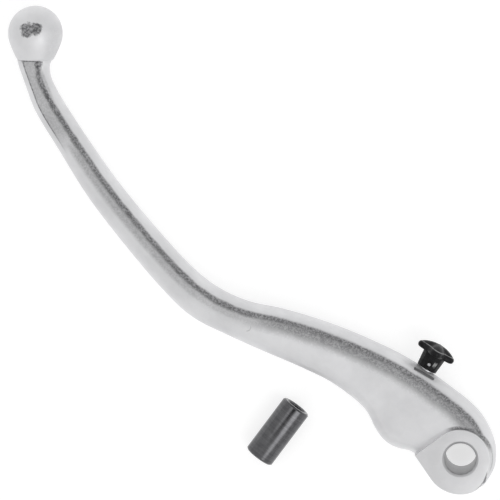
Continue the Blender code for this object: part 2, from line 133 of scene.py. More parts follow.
# Pivot bush
BUSH_RADIUS = 5.0
BUSH_BORE_RADIUS = 3.1
BUSH_LENGTH = 21.0
BUSH_CENTRE = (-60.2, 6.8)
BUSH_DIRECTION = (0.60, 0.80)
BUSH_CHAMFER = 0.5
BUSH_BORE_CHAMFER = 0.45

# Painted dark reflection and painted shade on the lever, and its mould mark. A band has four places: start,
# full, fade and end.
WEB_WIDTHS = (11.0, 16.0)
OUTER_BLADE_Y = (98, 108)
# Crest stripe and web hem: painted dark reflection. Inner fade, rear flat, rear line and the ball's step:
# painted shade.
CREST_STRIPE = (1.9, 2.7, 3.7, 5.1)
WEB_HEM = (1.7, 2.9, 5.4, 8.9)
INNER_FADE = (2.0, 2.8, 5.6, 7.4)
REAR_FLAT = (2.0, 2.2, 7.0, 8.0)
REAR_LINE = (1.8, 1.95, 2.15, 2.5)
BALL_STEP_Y = (128.8, 129.2, 129.6, 129.8)
BALL_STEP_ACROSS = (2.5, 3.5, 9.0, 10.0)
# Painted dark reflection on the ball's top, and a dark patch by the ball's step
BALL_DARK_SPOTS = (
    ((-140.1, 140.0, 17.6), 2.1),
    ((-137.4, 140.2, 17.6), 1.7),
    ((-137.0, 128.2, 13.6), 1.1),
)
BALL_SHADE = (-131.0, 135.5, 12.0)
EJECTOR_PLACE = (-69.5, 42.9, 16.2)
EJECTOR_RING = (1.25, 1.45, 1.5, 1.75)
# Painted dark reflection line along the nose's ridge
NOSE_RIDGE = (10.2, 10.35, 10.45, 10.7)

# Stage
FLOOR_HALF_SIZE = 1500
FLOOR_TONE = 0.42
FLOOR_GLOW = 0.68
FLOOR_DROP = 0.0002
TENT_BRIGHTNESS = 0.82
CAMERA_TARGET = (-0.0680, 0.0684, BOSS_HEIGHT * MM)
CAMERA_BACK = (0.06, 0.107, 1)
CAMERA_DISTANCE = 1.6
VIEW_WIDTH = 0.1621
SENSOR_WIDTH = 36

# Turns a piece's own Z axis to lie across the adjuster, along X
ACROSS = Matrix(((0, 0, 1), (1, 0, 0), (0, 1, 0))).to_4x4()


# ---------------------------------------------------------------- mesh helpers

def finish_mesh(bm, name, mat=None, smooth_angle=35.0):
    """Scale the mesh from millimetres to metres and link it as an object."""
    bmesh.ops.recalc_face_normals(bm, faces=bm.faces)
    bmesh.ops.scale(bm, vec=(MM, MM, MM), verts=bm.verts)
    mesh = bpy.data.meshes.new(name)
    bm.to_mesh(mesh)
    bm.free()
    mesh.shade_smooth()
    mesh.set_sharp_from_angle(angle=radians(smooth_angle))
    obj = bpy.data.objects.new(name, mesh)
    bpy.context.scene.collection.objects.link(obj)
    if mat:
        mesh.materials.append(mat)
    return obj


def bridge(bm, lower, upper):
    count = len(lower)
    for i in range(count):
        j = (i + 1) % count
        bm.faces.new((lower[i], lower[j], upper[j], upper[i]))


def turned(profile, segments, shape=None):
    """Turn (radius, height) points about Z; a radius of 0 closes an end."""
    bm = bmesh.new()
    rings = []
    for radius, height in profile:
        if radius == 0:
            rings.append([bm.verts.new((0, 0, height))])
            continue
        ring = []
        for k in range(segments):
            angle = 2 * pi * k / segments
            r, h = shape(angle, radius, height) if shape else (radius, height)
            ring.append(bm.verts.new((r * cos(angle), r * sin(angle), h)))
        rings.append(ring)
    pairs = list(zip(rings, rings[1:]))
    if profile[0][0] != 0:
        pairs.append((rings[-1], rings[0]))
    for lower, upper in pairs:
        if len(lower) == 1:
            for k in range(segments):
                bm.faces.new((lower[0], upper[k], upper[(k + 1) % segments]))
        elif len(upper) == 1:
            for k in range(segments):
                bm.faces.new((upper[0], lower[k], lower[(k + 1) % segments]))
        else:
            bridge(bm, lower, upper)
    return bm


def prism(outline, low, high):
    bm = bmesh.new()
    lower = [bm.verts.new((x, y, low)) for x, y in outline]
    upper = [bm.verts.new((x, y, high)) for x, y in outline]
    bridge(bm, lower, upper)
    bm.faces.new(lower)
    bm.faces.new(upper)
    return bm


def rounded(points, radius, steps=5):
    """Round the inner corners of an open (r, h) profile with small arcs."""
    result = [points[0]]
    for before, corner, after in zip(points, points[1:], points[2:]):
        c = Vector(corner)
        a = Vector(before) - c
        b = Vector(after) - c
        reach = min(radius, a.length * 0.45, b.length * 0.45)
        start = c + a.normalized() * reach
        end = c + b.normalized() * reach
        for k in range(steps + 1):
            t = k / steps
            p = start * (1 - t) ** 2 + c * 2 * t * (1 - t) + end * t * t
            result.append((p.x, p.y))
    result.append(points[-1])
    return result


def combine(obj, others, operation):
    """Join the other solids on, or cut them away, and keep only the result."""
    for other in others:
        modifier = obj.modifiers.new(other.name, "BOOLEAN")
        modifier.operation = operation
        modifier.solver = "EXACT"
        modifier.object = other
        depsgraph = bpy.context.evaluated_depsgraph_get()
        depsgraph.update()
        mesh = bpy.data.meshes.new_from_object(obj.evaluated_get(depsgraph))
        obj.modifiers.clear()
        if not mesh.polygons:
            raise RuntimeError("combining " + obj.name + " with " + other.name + " left nothing")
        obj.data = mesh
        bpy.data.objects.remove(other, do_unlink=True)


def adjuster_matrix():
    """Z runs out along the adjuster's axis from the knob's base, and X points up."""
    outward = Vector((*ADJUSTER_DIRECTION, 0)).normalized()
    up = Vector((0, 0, 1))
    turn = Matrix((up, outward.cross(up), outward)).transposed().to_4x4()
    return Matrix.Translation(Vector((*ADJUSTER_BASE, MID_HEIGHT)) * MM) @ turn


def settle(obj, matrix):
    """Put a piece in its place with its transform in the mesh."""
    obj.data.transform(matrix)
    return obj


# ---------------------------------------------------------------- material helpers

def new_material(name, colour, metallic, roughness):
    mat = bpy.data.materials.new(name)
    mat.use_nodes = True
    tree = mat.node_tree
    shader = tree.nodes["Principled BSDF"]
    shader.inputs["Base Color"].default_value = (*colour, 1.0)
    shader.inputs["Metallic"].default_value = metallic
    shader.inputs["Roughness"].default_value = roughness
    coords = tree.nodes.new("ShaderNodeTexCoord")
    return mat, tree, shader, coords.outputs["Object"]


def noise_node(tree, vector, scale, detail=4.0, roughness=0.55):
    node = tree.nodes.new("ShaderNodeTexNoise")
    node.inputs["Scale"].default_value = scale
    node.inputs["Detail"].default_value = detail
    node.inputs["Roughness"].default_value = roughness
    tree.links.new(vector, node.inputs["Vector"])
    return node.outputs["Fac"]


def remap(tree, value, low, high, to_low, to_high):
    node = tree.nodes.new("ShaderNodeMapRange")
    node.interpolation_type = "SMOOTHSTEP"
    node.inputs["From Min"].default_value = low
    node.inputs["From Max"].default_value = high
    node.inputs["To Min"].default_value = to_low
    node.inputs["To Max"].default_value = to_high
    tree.links.new(value, node.inputs["Value"])
    return node.outputs["Result"]


def maths(tree, operation, a, b):
    node = tree.nodes.new("ShaderNodeMath")
    node.operation = operation
    for socket, value in zip(node.inputs, (a, b)):
        if isinstance(value, (int, float)):
            socket.default_value = value
        else:
            tree.links.new(value, socket)
    return node.outputs["Value"]


def mix_colour(tree, factor, a, b):
    node = tree.nodes.new("ShaderNodeMix")
    node.data_type = "RGBA"
    tree.links.new(factor, node.inputs["Factor"])
    for socket, value in zip((node.inputs[6], node.inputs[7]), (a, b)):
        if isinstance(value, tuple):
            socket.default_value = (*value, 1.0)
        else:
            tree.links.new(value, socket)
    return node.outputs[2]


def stretched(tree, vector, scale, turn=(0, 0, 0)):
    node = tree.nodes.new("ShaderNodeMapping")
    node.inputs["Scale"].default_value = scale
    node.inputs["Rotation"].default_value = turn
    tree.links.new(vector, node.inputs["Vector"])
    return node.outputs["Vector"]


def bump(tree, shader, height, strength, distance, under=None):
    node = tree.nodes.new("ShaderNodeBump")
    node.inputs["Strength"].default_value = strength
    node.inputs["Distance"].default_value = distance
    tree.links.new(height, node.inputs["Height"])
    if under:
        tree.links.new(under, node.inputs["Normal"])
    tree.links.new(node.outputs["Normal"], shader.inputs["Normal"])
    return node.outputs["Normal"]


# ---------------------------------------------------------------- materials

def band(tree, value, start, full, fade, end, far_value=None):
    """1 between full and fade, falling smoothly to 0 at start and end."""
    rise = remap(tree, value, start, full, 0.0, 1.0)
    drop = remap(tree, far_value or value, fade, end, 1.0, 0.0)
    return maths(tree, "MULTIPLY", rise, drop)


def attribute(tree, name):
    node = tree.nodes.new("ShaderNodeAttribute")
    node.attribute_name = name
    return node.outputs["Fac"]


def distance_to(tree, coords, spot):
    node = tree.nodes.new("ShaderNodeVectorMath")
    node.operation = "DISTANCE"
    tree.links.new(coords, node.inputs[0])
    node.inputs[1].default_value = tuple(value * MM for value in spot)
    return maths(tree, "MULTIPLY", node.outputs["Value"], 1 / MM)


def wobble(tree, coords, scale, reach, detail=4.0):
    """Noise about 0, with the given reach in millimetres."""
    value = noise_node(tree, coords, scale, detail, 0.7)
    return maths(tree, "MULTIPLY", maths(tree, "SUBTRACT", value, 0.5), 2 * reach)


def painted_reflection_shade_and_mould_masks(tree, coords):
    """The crest stripe and web hem of painted dark reflection, the greyer flat behind it and other bands of
    painted shade, painted dark reflection on the ball's top, and the mould mark on the web.
    """
    ragged = maths(tree, "ADD", wobble(tree, coords, 1500, 1.5, 2.0), wobble(tree, coords, 190, 0.7))
    depth = attribute(tree, "edge_distance")
    rough_depth = maths(tree, "ADD", depth, ragged)
    clean_depth = maths(tree, "ADD", depth, wobble(tree, coords, 260, 0.35))
    width = attribute(tree, "local_width")
    web = remap(tree, width, *WEB_WIDTHS, 0.0, 1.0)
    blade = maths(tree, "SUBTRACT", 1.0, web)
    split = tree.nodes.new("ShaderNodeSeparateXYZ")
    tree.links.new(coords, split.inputs[0])
    beyond = remap(tree, split.outputs[1], *(y * MM for y in OUTER_BLADE_Y), 0.0, 1.0)
    outer = maths(tree, "MULTIPLY", beyond, blade)
    inner = maths(tree, "SUBTRACT", blade, outer)
    rear = maths(tree, "SUBTRACT", width, depth)
    # Painted dark reflection on the crest and hem; painted shade on the fade, flat, rear line and ball's
    # step
    stripe = band(tree, clean_depth, *CREST_STRIPE, rough_depth)
    hem = maths(tree, "MULTIPLY", band(tree, clean_depth, *WEB_HEM, rough_depth), web)
    fade = maths(tree, "MULTIPLY", band(tree, depth, *INNER_FADE), inner)
    flat = maths(tree, "MULTIPLY", band(tree, rear, *REAR_FLAT), outer)
    line = maths(tree, "MULTIPLY", band(tree, rear, *REAR_LINE), outer)
    step = band(tree, split.outputs[1], *(y * MM for y in BALL_STEP_Y))
    step = maths(tree, "MULTIPLY", step, band(tree, depth, *BALL_STEP_ACROSS))
    line = maths(tree, "MAXIMUM", line, step)
    greyer = maths(tree, "MAXIMUM", maths(tree, "MULTIPLY", hem, 0.72), maths(tree, "MULTIPLY", flat, 0.42))
    greyer = maths(tree, "MAXIMUM", greyer, maths(tree, "MULTIPLY", fade, 0.5))
    greyer = maths(tree, "MAXIMUM", greyer, maths(tree, "MULTIPLY", line, 0.9))
    greyer = maths(tree, "MAXIMUM", greyer, maths(tree, "MULTIPLY", stripe, 0.9))
    # Painted dark reflection on the ball's top, and a dark patch by the step
    spots = []
    for spot, reach in BALL_DARK_SPOTS:
        away = maths(tree, "ADD", distance_to(tree, coords, spot), wobble(tree, coords, 420, 1.6))
        spots.append(remap(tree, away, reach, reach + 0.7, 1.0, 0.0))
    spot = maths(tree, "MAXIMUM", maths(tree, "MAXIMUM", spots[0], spots[1]), spots[2])
    # Painted shade on the ball's far side, then joined with the web's mould mark
    shade = remap(tree, distance_to(tree, coords, BALL_SHADE), 4.0, 8.0, 0.14, 0.0)
    shade = maths(tree, "MAXIMUM", shade, ejector_mark(tree, coords))
    greyer = maths(tree, "MAXIMUM", greyer, shade)
    return maths(tree, "MAXIMUM", greyer, maths(tree, "MULTIPLY", spot, 0.95))


def ejector_mark(tree, coords):
    """A faint, broken round mark left by the mould on the web's upper face."""
    away = distance_to(tree, coords, EJECTOR_PLACE)
    ring = band(tree, away, *EJECTOR_RING)
    broken = remap(tree, noise_node(tree, coords, 420, 2.0), 0.45, 0.55, 0.0, 0.4)
    return maths(tree, "MULTIPLY", ring, broken)


def painted_pad_shade_and_nose_reflection(tree, coords):
    """Painted shade round the raised pad's edge on the hand's side, and a painted dark reflection line
    along the ridge at the nose.
    """
    split = tree.nodes.new("ShaderNodeSeparateXYZ")
    tree.links.new(coords, split.inputs[0])
    flat = tree.nodes.new("ShaderNodeCombineXYZ")
    tree.links.new(split.outputs[0], flat.inputs[0])
    tree.links.new(split.outputs[1], flat.inputs[1])
    radius = distance_to(tree, flat.outputs[0], (0, 0, 0))
    ring = band(tree, radius, PAD_RADIUS - 0.25, PAD_RADIUS, PAD_RADIUS + 0.7, PAD_RADIUS + 1.3)
    side = maths(tree, "ADD", maths(tree, "MULTIPLY", split.outputs[0], 0.45),
                 maths(tree, "MULTIPLY", split.outputs[1], 0.9))
    side = remap(tree, side, 5.5 * MM, 8.5 * MM, 0.0, 1.0)
    lip = remap(tree, split.outputs[2], (BOSS_HEIGHT - 0.5) * MM, (BOSS_HEIGHT - 0.2) * MM, 1.0, 0.0)
    pad_edge_shade = maths(tree, "MULTIPLY", maths(tree, "MULTIPLY", ring, side), lip)
    nose = remap(tree, split.outputs[0], 6.5 * MM, 8.5 * MM, 0.0, 0.55)
    upper = remap(tree, split.outputs[2], 15.5 * MM, 17.0 * MM, 0.0, 1.0)
    nose = maths(tree, "MULTIPLY", nose, upper)
    nose = maths(tree, "MULTIPLY", nose, remap(tree, split.outputs[1], -6 * MM, -2 * MM, 0.0, 1.0))
    ridge = maths(tree, "MULTIPLY", band(tree, radius, *NOSE_RIDGE), nose)
    return maths(tree, "MAXIMUM", pad_edge_shade, ridge)


def lever_aluminium():
    """Satin casting, buffed glossier along the crest, with painted dark reflection and painted shade
    darkening its colour, waves, pits and fine scratches.
    """
    mat, tree, shader, coords = new_material("lever_aluminium", (0.8, 0.8, 0.81), 1.0, 0.4)
    # Masks of painted dark reflection and painted shade, with the mould mark
    mask = maths(tree, "MAXIMUM", painted_reflection_shade_and_mould_masks(tree, coords),
                 maths(tree, "MULTIPLY", painted_pad_shade_and_nose_reflection(tree, coords), 0.8))
    speck = remap(tree, noise_node(tree, coords, 1500, 3.0, 0.8), 0.38, 0.6, 0.6, 1.0)
    mask = maths(tree, "MULTIPLY", mask, speck)
    satin = remap(tree, noise_node(tree, coords, 240, 6.0), 0.3, 0.7, 0.56, 0.66)
    rough = maths(tree, "SUBTRACT", satin, maths(tree, "MULTIPLY", mask, 0.3))
    tree.links.new(rough, shader.inputs["Roughness"])
    tone = remap(tree, noise_node(tree, coords, 70, 5.0), 0.35, 0.65, 0.0, 1.0)
    clean = mix_colour(tree, tone, (0.77, 0.77, 0.78), (0.71, 0.71, 0.72))
    # Painted dark reflection and painted shade, with the mould mark, mixed in as near-black
    tree.links.new(mix_colour(tree, mask, clean, (0.10, 0.10, 0.105)), shader.inputs["Base Color"])
    waves = bump(tree, shader, noise_node(tree, coords, 320, 2.0), 0.25, 0.0002)
    grain = bump(tree, shader, noise_node(tree, coords, 3800, 3.0, 0.7), 0.12, 0.00004, waves)
    scratches = noise_node(tree, stretched(tree, coords, (260, 4200, 900), (0, 0, radians(-42))), 1.0, 2.0)
    bump(tree, shader, scratches, 0.08, 0.00003, grain)
    return mat


def machined_aluminium():
    """Faced pad and reamed bore: fine rings about the pivot axis."""
    mat, tree, shader, coords = new_material("machined_aluminium", (0.82, 0.82, 0.83), 1.0, 0.45)
    rings = tree.nodes.new("ShaderNodeTexWave")
    rings.wave_type = "RINGS"
    rings.rings_direction = "Z"
    rings.inputs["Scale"].default_value = 900
    rings.inputs["Distortion"].default_value = 0.6
    rings.inputs["Detail"].default_value = 2.0
    tree.links.new(coords, rings.inputs["Vector"])
    cloud = noise_node(tree, coords, 300, 4.0)
    tree.links.new(remap(tree, cloud, 0.3, 0.7, 0.46, 0.56), shader.inputs["Roughness"])
    tone = remap(tree, noise_node(tree, coords, 90, 5.0), 0.35, 0.65, 0.0, 1.0)
    colour = mix_colour(tree, tone, (0.72, 0.72, 0.73), (0.67, 0.67, 0.68))
    tree.links.new(colour, shader.inputs["Base Color"])
    faced = bump(tree, shader, rings.outputs["Fac"], 0.08, 0.00002)
    bump(tree, shader, noise_node(tree, coords, 3000, 3.0), 0.08, 0.00003, faced)
    return mat


def reamed_bore_painted_shade():
    """Bore wall: painted darker than the pads as painted shade inside the bore, with fine lines round it
    and traces of grease.
    """
    mat, tree, shader, coords = new_material("reamed_bore_painted_shade", (0.45, 0.45, 0.46), 1.0, 0.4)
    lines = noise_node(tree, stretched(tree, coords, (50, 50, 4800)), 1.0, 3.0)
    stain = noise_node(tree, coords, 350, 5.0, 0.65)
    mixed = maths(tree, "ADD", maths(tree, "MULTIPLY", lines, 0.5), maths(tree, "MULTIPLY", stain, 0.5))
    tone = remap(tree, mixed, 0.36, 0.64, 0.0, 1.0)
    # Painted shade: the wall's colour stays well below the pads'
    colour = mix_colour(tree, tone, (0.26, 0.26, 0.265), (0.5, 0.5, 0.51))
    tree.links.new(colour, shader.inputs["Base Color"])
    tree.links.new(remap(tree, stain, 0.3, 0.7, 0.32, 0.48), shader.inputs["Roughness"])
    bump(tree, shader, lines, 0.15, 0.00003)
    return mat


def turned_steel(name, dark, light, low, high, direction=None):
    """Steel with turning rings along its own axis, blotches and small scuffs."""
    mat, tree, shader, coords = new_material(name, light, 1.0, (low + high) / 2)
    if direction:
        turn = Vector((*direction, 0)).to_track_quat("Z", "Y").inverted().to_euler()
        coords = stretched(tree, coords, (1, 1, 1), tuple(turn))
    bands = noise_node(tree, stretched(tree, coords, (60, 60, 5200)), 1.0, 3.0)
    blotch = noise_node(tree, coords, 420, 6.0, 0.65)
    scuff = noise_node(tree, stretched(tree, coords, (2600, 2600, 240)), 1.0, 3.0)
    mixed = maths(tree, "ADD", maths(tree, "MULTIPLY", bands, 0.5), maths(tree, "MULTIPLY", blotch, 0.5))
    tone = remap(tree, mixed, 0.36, 0.64, 0.0, 1.0)
    tree.links.new(mix_colour(tree, tone, dark, light), shader.inputs["Base Color"])
    tree.links.new(remap(tree, blotch, 0.3, 0.7, low, high), shader.inputs["Roughness"])
    ringed = bump(tree, shader, bands, 0.12, 0.00003)
    bump(tree, shader, scuff, 0.08, 0.00003, ringed)
    return mat


def moulded_plastic():
    """Black moulded knob: fine grain, dull patches, and painted highlights on the head's rim and one barrel
    facet.
    """
    mat, tree, shader, coords = new_material("moulded_plastic", (0.012, 0.012, 0.013), 0.0, 0.3)
    shader.inputs["Specular IOR Level"].default_value = 0.15
    patch = remap(tree, noise_node(tree, coords, 500, 5.0), 0.35, 0.65, 0.0, 1.0)
    black = mix_colour(tree, patch, (0.004, 0.004, 0.0045), (0.013, 0.013, 0.014))
    painted_highlight = maths(tree, "ADD", attribute(tree, "painted_highlight"), wobble(tree, coords, 900, 0.5))
    painted_highlight = remap(tree, painted_highlight, 0.45, 1.0, 0.0, 1.0)
    # Painted highlight: the marked rim and facet are mixed towards light grey
    tree.links.new(mix_colour(tree, painted_highlight, black, (0.30, 0.30, 0.30)), shader.inputs["Base Color"])
    tree.links.new(remap(tree, noise_node(tree, coords, 900, 4.0), 0.3, 0.7, 0.20, 0.40),
                   shader.inputs["Roughness"])
    bump(tree, shader, noise_node(tree, coords, 2600, 4.0, 0.7), 0.18, 0.00004)
    return mat


def black_rubber():
    mat, tree, shader, coords = new_material("black_rubber", (0.02, 0.02, 0.02), 0.0, 0.7)
    patch = remap(tree, noise_node(tree, coords, 800, 4.0), 0.35, 0.65, 0.0, 1.0)
    tree.links.new(mix_colour(tree, patch, (0.012, 0.012, 0.012), (0.035, 0.034, 0.033)),
                   shader.inputs["Base Color"])
    tree.links.new(remap(tree, patch, 0.0, 1.0, 0.6, 0.8), shader.inputs["Roughness"])
    bump(tree, shader, noise_node(tree, coords, 3000, 4.0), 0.2, 0.00004)
    return mat


# ---------------------------------------------------------------- lever body

def spline(points, steps):
    """Catmull-Rom curve through tuples of any length."""
    result = []
    for i in range(len(points) - 1):
        before = points[max(i - 1, 0)]
        start = points[i]
        end = points[i + 1]
        after = points[min(i + 2, len(points) - 1)]
        for k in range(steps):
            t = k / steps
            result.append(tuple(
                0.5 * (2 * b + (c - a) * t + (2 * a - 5 * b + 4 * c - d) * t * t
                       + (3 * b - a - 3 * c + d) * t ** 3)
                for a, b, c, d in zip(before, start, end, after)))
    result.append(points[-1])
    return result


def crest_of(width):
    return min(CREST_DISTANCE, 0.45 * width)


def section_half(width, half_thickness):
    """Top half of a cross-section as (distance from the front edge, height) points."""
    crest = crest_of(width)
    rear = min(width - crest, max(3.5, 7.7 - 0.49 * (width - 12.5)))
    power = 2 / EDGE_POWER

    def fall(u):
        d = max(0.0, u - crest)
        return WEB_SLOPE * d * d / (d + WEB_EASE)

    points = []
    for k in range(FRONT_STEPS + 1):
        angle = pi / 2 * k / FRONT_STEPS
        points.append((crest * (1 - max(0.0, cos(angle)) ** power), sin(angle) ** power))
    flat = width - rear - crest
    for k in range(1, WEB_STEPS + 1):
        points.append((crest + max(flat, 0.3) * k / (WEB_STEPS + 1), 1.0))
    for k in range(REAR_STEPS + 1):
        angle = pi / 2 * k / REAR_STEPS
        u = width - rear + rear * sin(angle) ** power
        points.append((max(u, crest + 0.4), max(0.0, cos(angle)) ** power))
    return [(u, (half_thickness - fall(u)) * factor) for u, factor in points]


def blade_middle(x):
    """Height of the blade's middle: it drops a little so that the ball also touches down."""
    t = min(1.0, max(0.0, (x - BALL_CENTRE[0]) / 60.0))
    return BALL_RADIUS + (MID_HEIGHT - BALL_RADIUS) * t * t * (3 - 2 * t)


def loft_blade():
    bm = bmesh.new()
    rings = []
    for fx, fy, rx, ry, half in spline(STATIONS, STEPS_BETWEEN_STATIONS):
        width = hypot(rx - fx, ry - fy)
        middle = blade_middle((fx + rx) / 2)
        top = section_half(width, half)
        loop = [(u, z) for u, z in top] + [(u, -z) for u, z in reversed(top[1:-1])]
        rings.append([
            bm.verts.new((fx + (rx - fx) * u / width, fy + (ry - fy) * u / width, middle + z))
            for u, z in loop])
    for lower, upper in zip(rings, rings[1:]):
        bridge(bm, lower, upper)
    bm.faces.new(rings[0])
    bm.faces.new(rings[-1])
    return bm


def pad_outline():
    """Raised pad round the bore: arcs joined by two tangents to the corner on the web's side."""
    corner_angle = atan2(PAD_CORNER[1], PAD_CORNER[0])
    corner_distance = hypot(*PAD_CORNER)
    upper = degrees(corner_angle - acos(PAD_RADIUS / corner_distance))
    lower = degrees(corner_angle + acos(NOSE_RADIUS / corner_distance)) - 360
    steps = 110
    points = [PAD_CORNER]
    for k in range(steps + 1):
        angle = upper + (lower - upper) * k / steps
        t = min(1.0, max(0.0, (-20 - angle) / 55))
        radius = PAD_RADIUS + (NOSE_RADIUS - PAD_RADIUS) * t * t * (3 - 2 * t)
        points.append((radius * cos(radians(angle)), radius * sin(radians(angle))))
    return points


def boss_block():
    """The pads on both faces and the full-height wall between them, with rounded edges."""
    outline = pad_outline()
    round_edge = 0.35
    steps = 4
    levels = []
    for k in range(steps + 1):
        angle = pi / 2 * k / steps
        levels.append((round_edge * (1 - cos(angle)), round_edge * (1 - sin(angle))))
    levels += [(BOSS_HEIGHT - h, inset) for h, inset in reversed(levels)]
    bm = bmesh.new()
    rings = []
    for height, inset in levels:
        ring = []
        for x, y in outline:
            keep = 1 - inset / hypot(x, y)
            ring.append(bm.verts.new((x * keep, y * keep, height)))
        rings.append(ring)
    for lower, upper in zip(rings, rings[1:]):
        bridge(bm, lower, upper)
    bm.faces.new(rings[0])
    bm.faces.new(rings[-1])
    return bm


def ball_end():
    """A ball that tapers towards the blade and ends in a small step."""
    profile = [(0, -BALL_RADIUS)]
    steps = 36
    for k in range(1, steps + 1):
        angle = pi / 2 * k / steps
        profile.append((BALL_RADIUS * sin(angle), -BALL_RADIUS * cos(angle)))
    curve = spline([(8.9, 0.0)] + [(r, s) for s, r in BALL_TAPER], 5)
    profile += [(r, s) for r, s in curve[1:]]
    profile.append((0, BALL_TAPER[-1][0]))
    obj = finish_mesh(turned(profile, 96), "ball_end_guide")
    turn = Vector((*BALL_AXIS, 0)).to_track_quat("Z", "Y").to_matrix().to_4x4()
    return settle(obj, Matrix.Translation(Vector((*BALL_CENTRE, BALL_RADIUS)) * MM) @ turn)


def pivot_bore():
    wide = BORE_RADIUS + 1.8
    side = [(wide, -1), (BORE_RADIUS, 0.8), (BORE_RADIUS, BOSS_HEIGHT - 0.8), (wide, BOSS_HEIGHT + 1)]
    profile = [(0, -1)] + rounded(side, 0.3) + [(0, BOSS_HEIGHT + 1)]
    return finish_mesh(turned(profile, 96), "pivot_bore")


def adjuster_cutters():
    """The stepped bore of the screw, the plate's slot, and the cross bores of the click and the key."""
    place = adjuster_matrix()
    outside = 6
    stepped = turned(((0, CUP_BORE_END), (CUP_BORE_RADIUS, CUP_BORE_END), (CUP_BORE_RADIUS, CUP_BORE_TOP),
                      (SHANK_BORE_RADIUS, CUP_BORE_TOP), (SHANK_BORE_RADIUS, KNOB_SEAT_FLOOR),
                      (KNOB_SEAT_RADIUS, KNOB_SEAT_FLOOR), (KNOB_SEAT_RADIUS, outside), (0, outside)), 64)
    slot = prism(((SLOT_BACK, -SLOT_HALF_WIDTH), (SLOT_FRONT, -SLOT_HALF_WIDTH),
                  (SLOT_FRONT, SLOT_HALF_WIDTH), (SLOT_BACK, SLOT_HALF_WIDTH)), SLOT_FLOOR, SLOT_ROOF)
    below, inside = -12, -2
    detent = turned(((0, below), (DETENT_PLUG_RADIUS, below), (DETENT_PLUG_RADIUS, DETENT_PLUG_END),
                     (DETENT_BORE_RADIUS, DETENT_PLUG_END), (DETENT_BORE_RADIUS, inside), (0, inside)), 40)
    key = turned(((0, below), (KEY_BORE_RADIUS, below), (KEY_BORE_RADIUS, inside), (0, inside)), 32)
    at_detent = place @ Matrix.Translation((0, 0, DETENT_DEPTH * MM)) @ ACROSS
    at_key = place @ Matrix.Translation((0, 0, KEY_DEPTH * MM)) @ ACROSS
    return [
        settle(finish_mesh(stepped, "stepped_bore"), place),
        settle(finish_mesh(slot, "plate_slot"), place),
        settle(finish_mesh(detent, "detent_bore"), at_detent),
        settle(finish_mesh(key, "key_bore"), at_key),
    ]


def mark_edge_distance(obj):
    """Store each point's distance from the front edge, and the lever's width there."""
    rows = []
    shares = (0.0, 0.35, 0.8)
    sections = spline(STATIONS, STEPS_BETWEEN_STATIONS)
    tree = kdtree.KDTree(len(shares) * len(sections))
    for fx, fy, rx, ry, _ in sections:
        width = hypot(rx - fx, ry - fy)
        front = Vector((fx, fy))
        inward = Vector((rx - fx, ry - fy)) / width
        for share in shares:
            spot = front + inward * width * share
            tree.insert((spot.x, spot.y, 0), len(rows))
        rows.append((front, inward, width))
    tree.balance()
    mesh = obj.data
    distances = mesh.attributes.new("edge_distance", "FLOAT", "POINT")
    widths = mesh.attributes.new("local_width", "FLOAT", "POINT")
    end_axis = Vector(BALL_AXIS).normalized()
    for v in mesh.vertices:
        p = Vector((v.co.x, v.co.y)) / MM
        along = (p - Vector(BALL_CENTRE)).dot(end_axis)
        outside = hypot((p - Vector(BALL_CENTRE)).length, v.co.z / MM - BALL_RADIUS)
        _, index, _ = tree.find((p.x, p.y, 0))
        front, inward, width = rows[index]
        on_ball = along < BALL_TAPER[-1][0] + 0.02 and outside < BALL_RADIUS + 2
        distances.data[v.index].value = 0.0 if on_ball else max(0.0, (p - front).dot(inward))
        widths.data[v.index].value = width


def build_lever(aluminium, machined, bore_wall):
    body = finish_mesh(loft_blade(), "polished_lever", aluminium)
    block = finish_mesh(boss_block(), "boss_block", machined)
    combine(body, [ball_end(), block], "UNION")
    combine(body, [pivot_bore()] + adjuster_cutters(), "DIFFERENCE")
    mesh = body.data
    mesh.materials.clear()
    mesh.materials.append(aluminium)
    mesh.materials.append(machined)
    mesh.materials.append(bore_wall)
    cast_slot, machined_slot, wall_slot = 0, 1, 2
    near = 0.02
    chamfer_reach = 1.2
    pad_reach = 16
    for face in mesh.polygons:
        c = face.center / MM
        flat = abs(face.normal.z) > 0.9 and (c.z > BOSS_HEIGHT - near or c.z < near)
        radius = hypot(c.x, c.y)
        if radius < BORE_RADIUS + 0.05 and abs(face.normal.z) < 0.3:
            face.material_index = wall_slot
        elif radius < BORE_RADIUS + chamfer_reach or (flat and radius < pad_reach):
            face.material_index = machined_slot
        else:
            face.material_index = cast_slot
    mesh.shade_smooth()
    mesh.set_sharp_from_angle(angle=radians(30))
    mark_edge_distance(body)
    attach(body, "lever")
    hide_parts("lever_body")
    return body


# ---------------------------------------------------------------- bush, knob and small pieces

def build_bush(steel):
    half = BUSH_LENGTH / 2
    outer = rounded([(BUSH_BORE_RADIUS, 0), (BUSH_BORE_RADIUS, half - BUSH_BORE_CHAMFER),
                     (BUSH_BORE_RADIUS + BUSH_BORE_CHAMFER, half), (BUSH_RADIUS - BUSH_CHAMFER, half),
                     (BUSH_RADIUS, half - BUSH_CHAMFER), (BUSH_RADIUS, 0)], 0.12, 3)
    lower = [(r, -h) for r, h in reversed(outer[1:-1])]
    bush = finish_mesh(turned(outer + lower, 96), "turned_bush", steel)
    turn = Vector((*BUSH_DIRECTION, 0)).to_track_quat("Z", "Y").to_matrix().to_4x4()
    settle(bush, Matrix.Translation(Vector((*BUSH_CENTRE, BUSH_RADIUS)) * MM) @ turn)
    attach(bush, "bush")
    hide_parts("pivot_bush")


def knob_shape(angle, radius, height):
    """Faceted barrel below, lobed head above: the head's radii are fractions of the lobe's."""
    if height <= KNOB_BARREL_TOP:
        facet = 2 * pi / KNOB_FACETS
        offset = (angle + facet / 2) % facet - facet / 2
        flat = cos(facet / 2) / cos(offset)
        return radius * (0.25 + 0.75 * flat), height
    swell = (0.5 + 0.5 * cos(KNOB_LOBES * angle)) ** 1.1
    return radius * (4.25 + 2.35 * swell), height


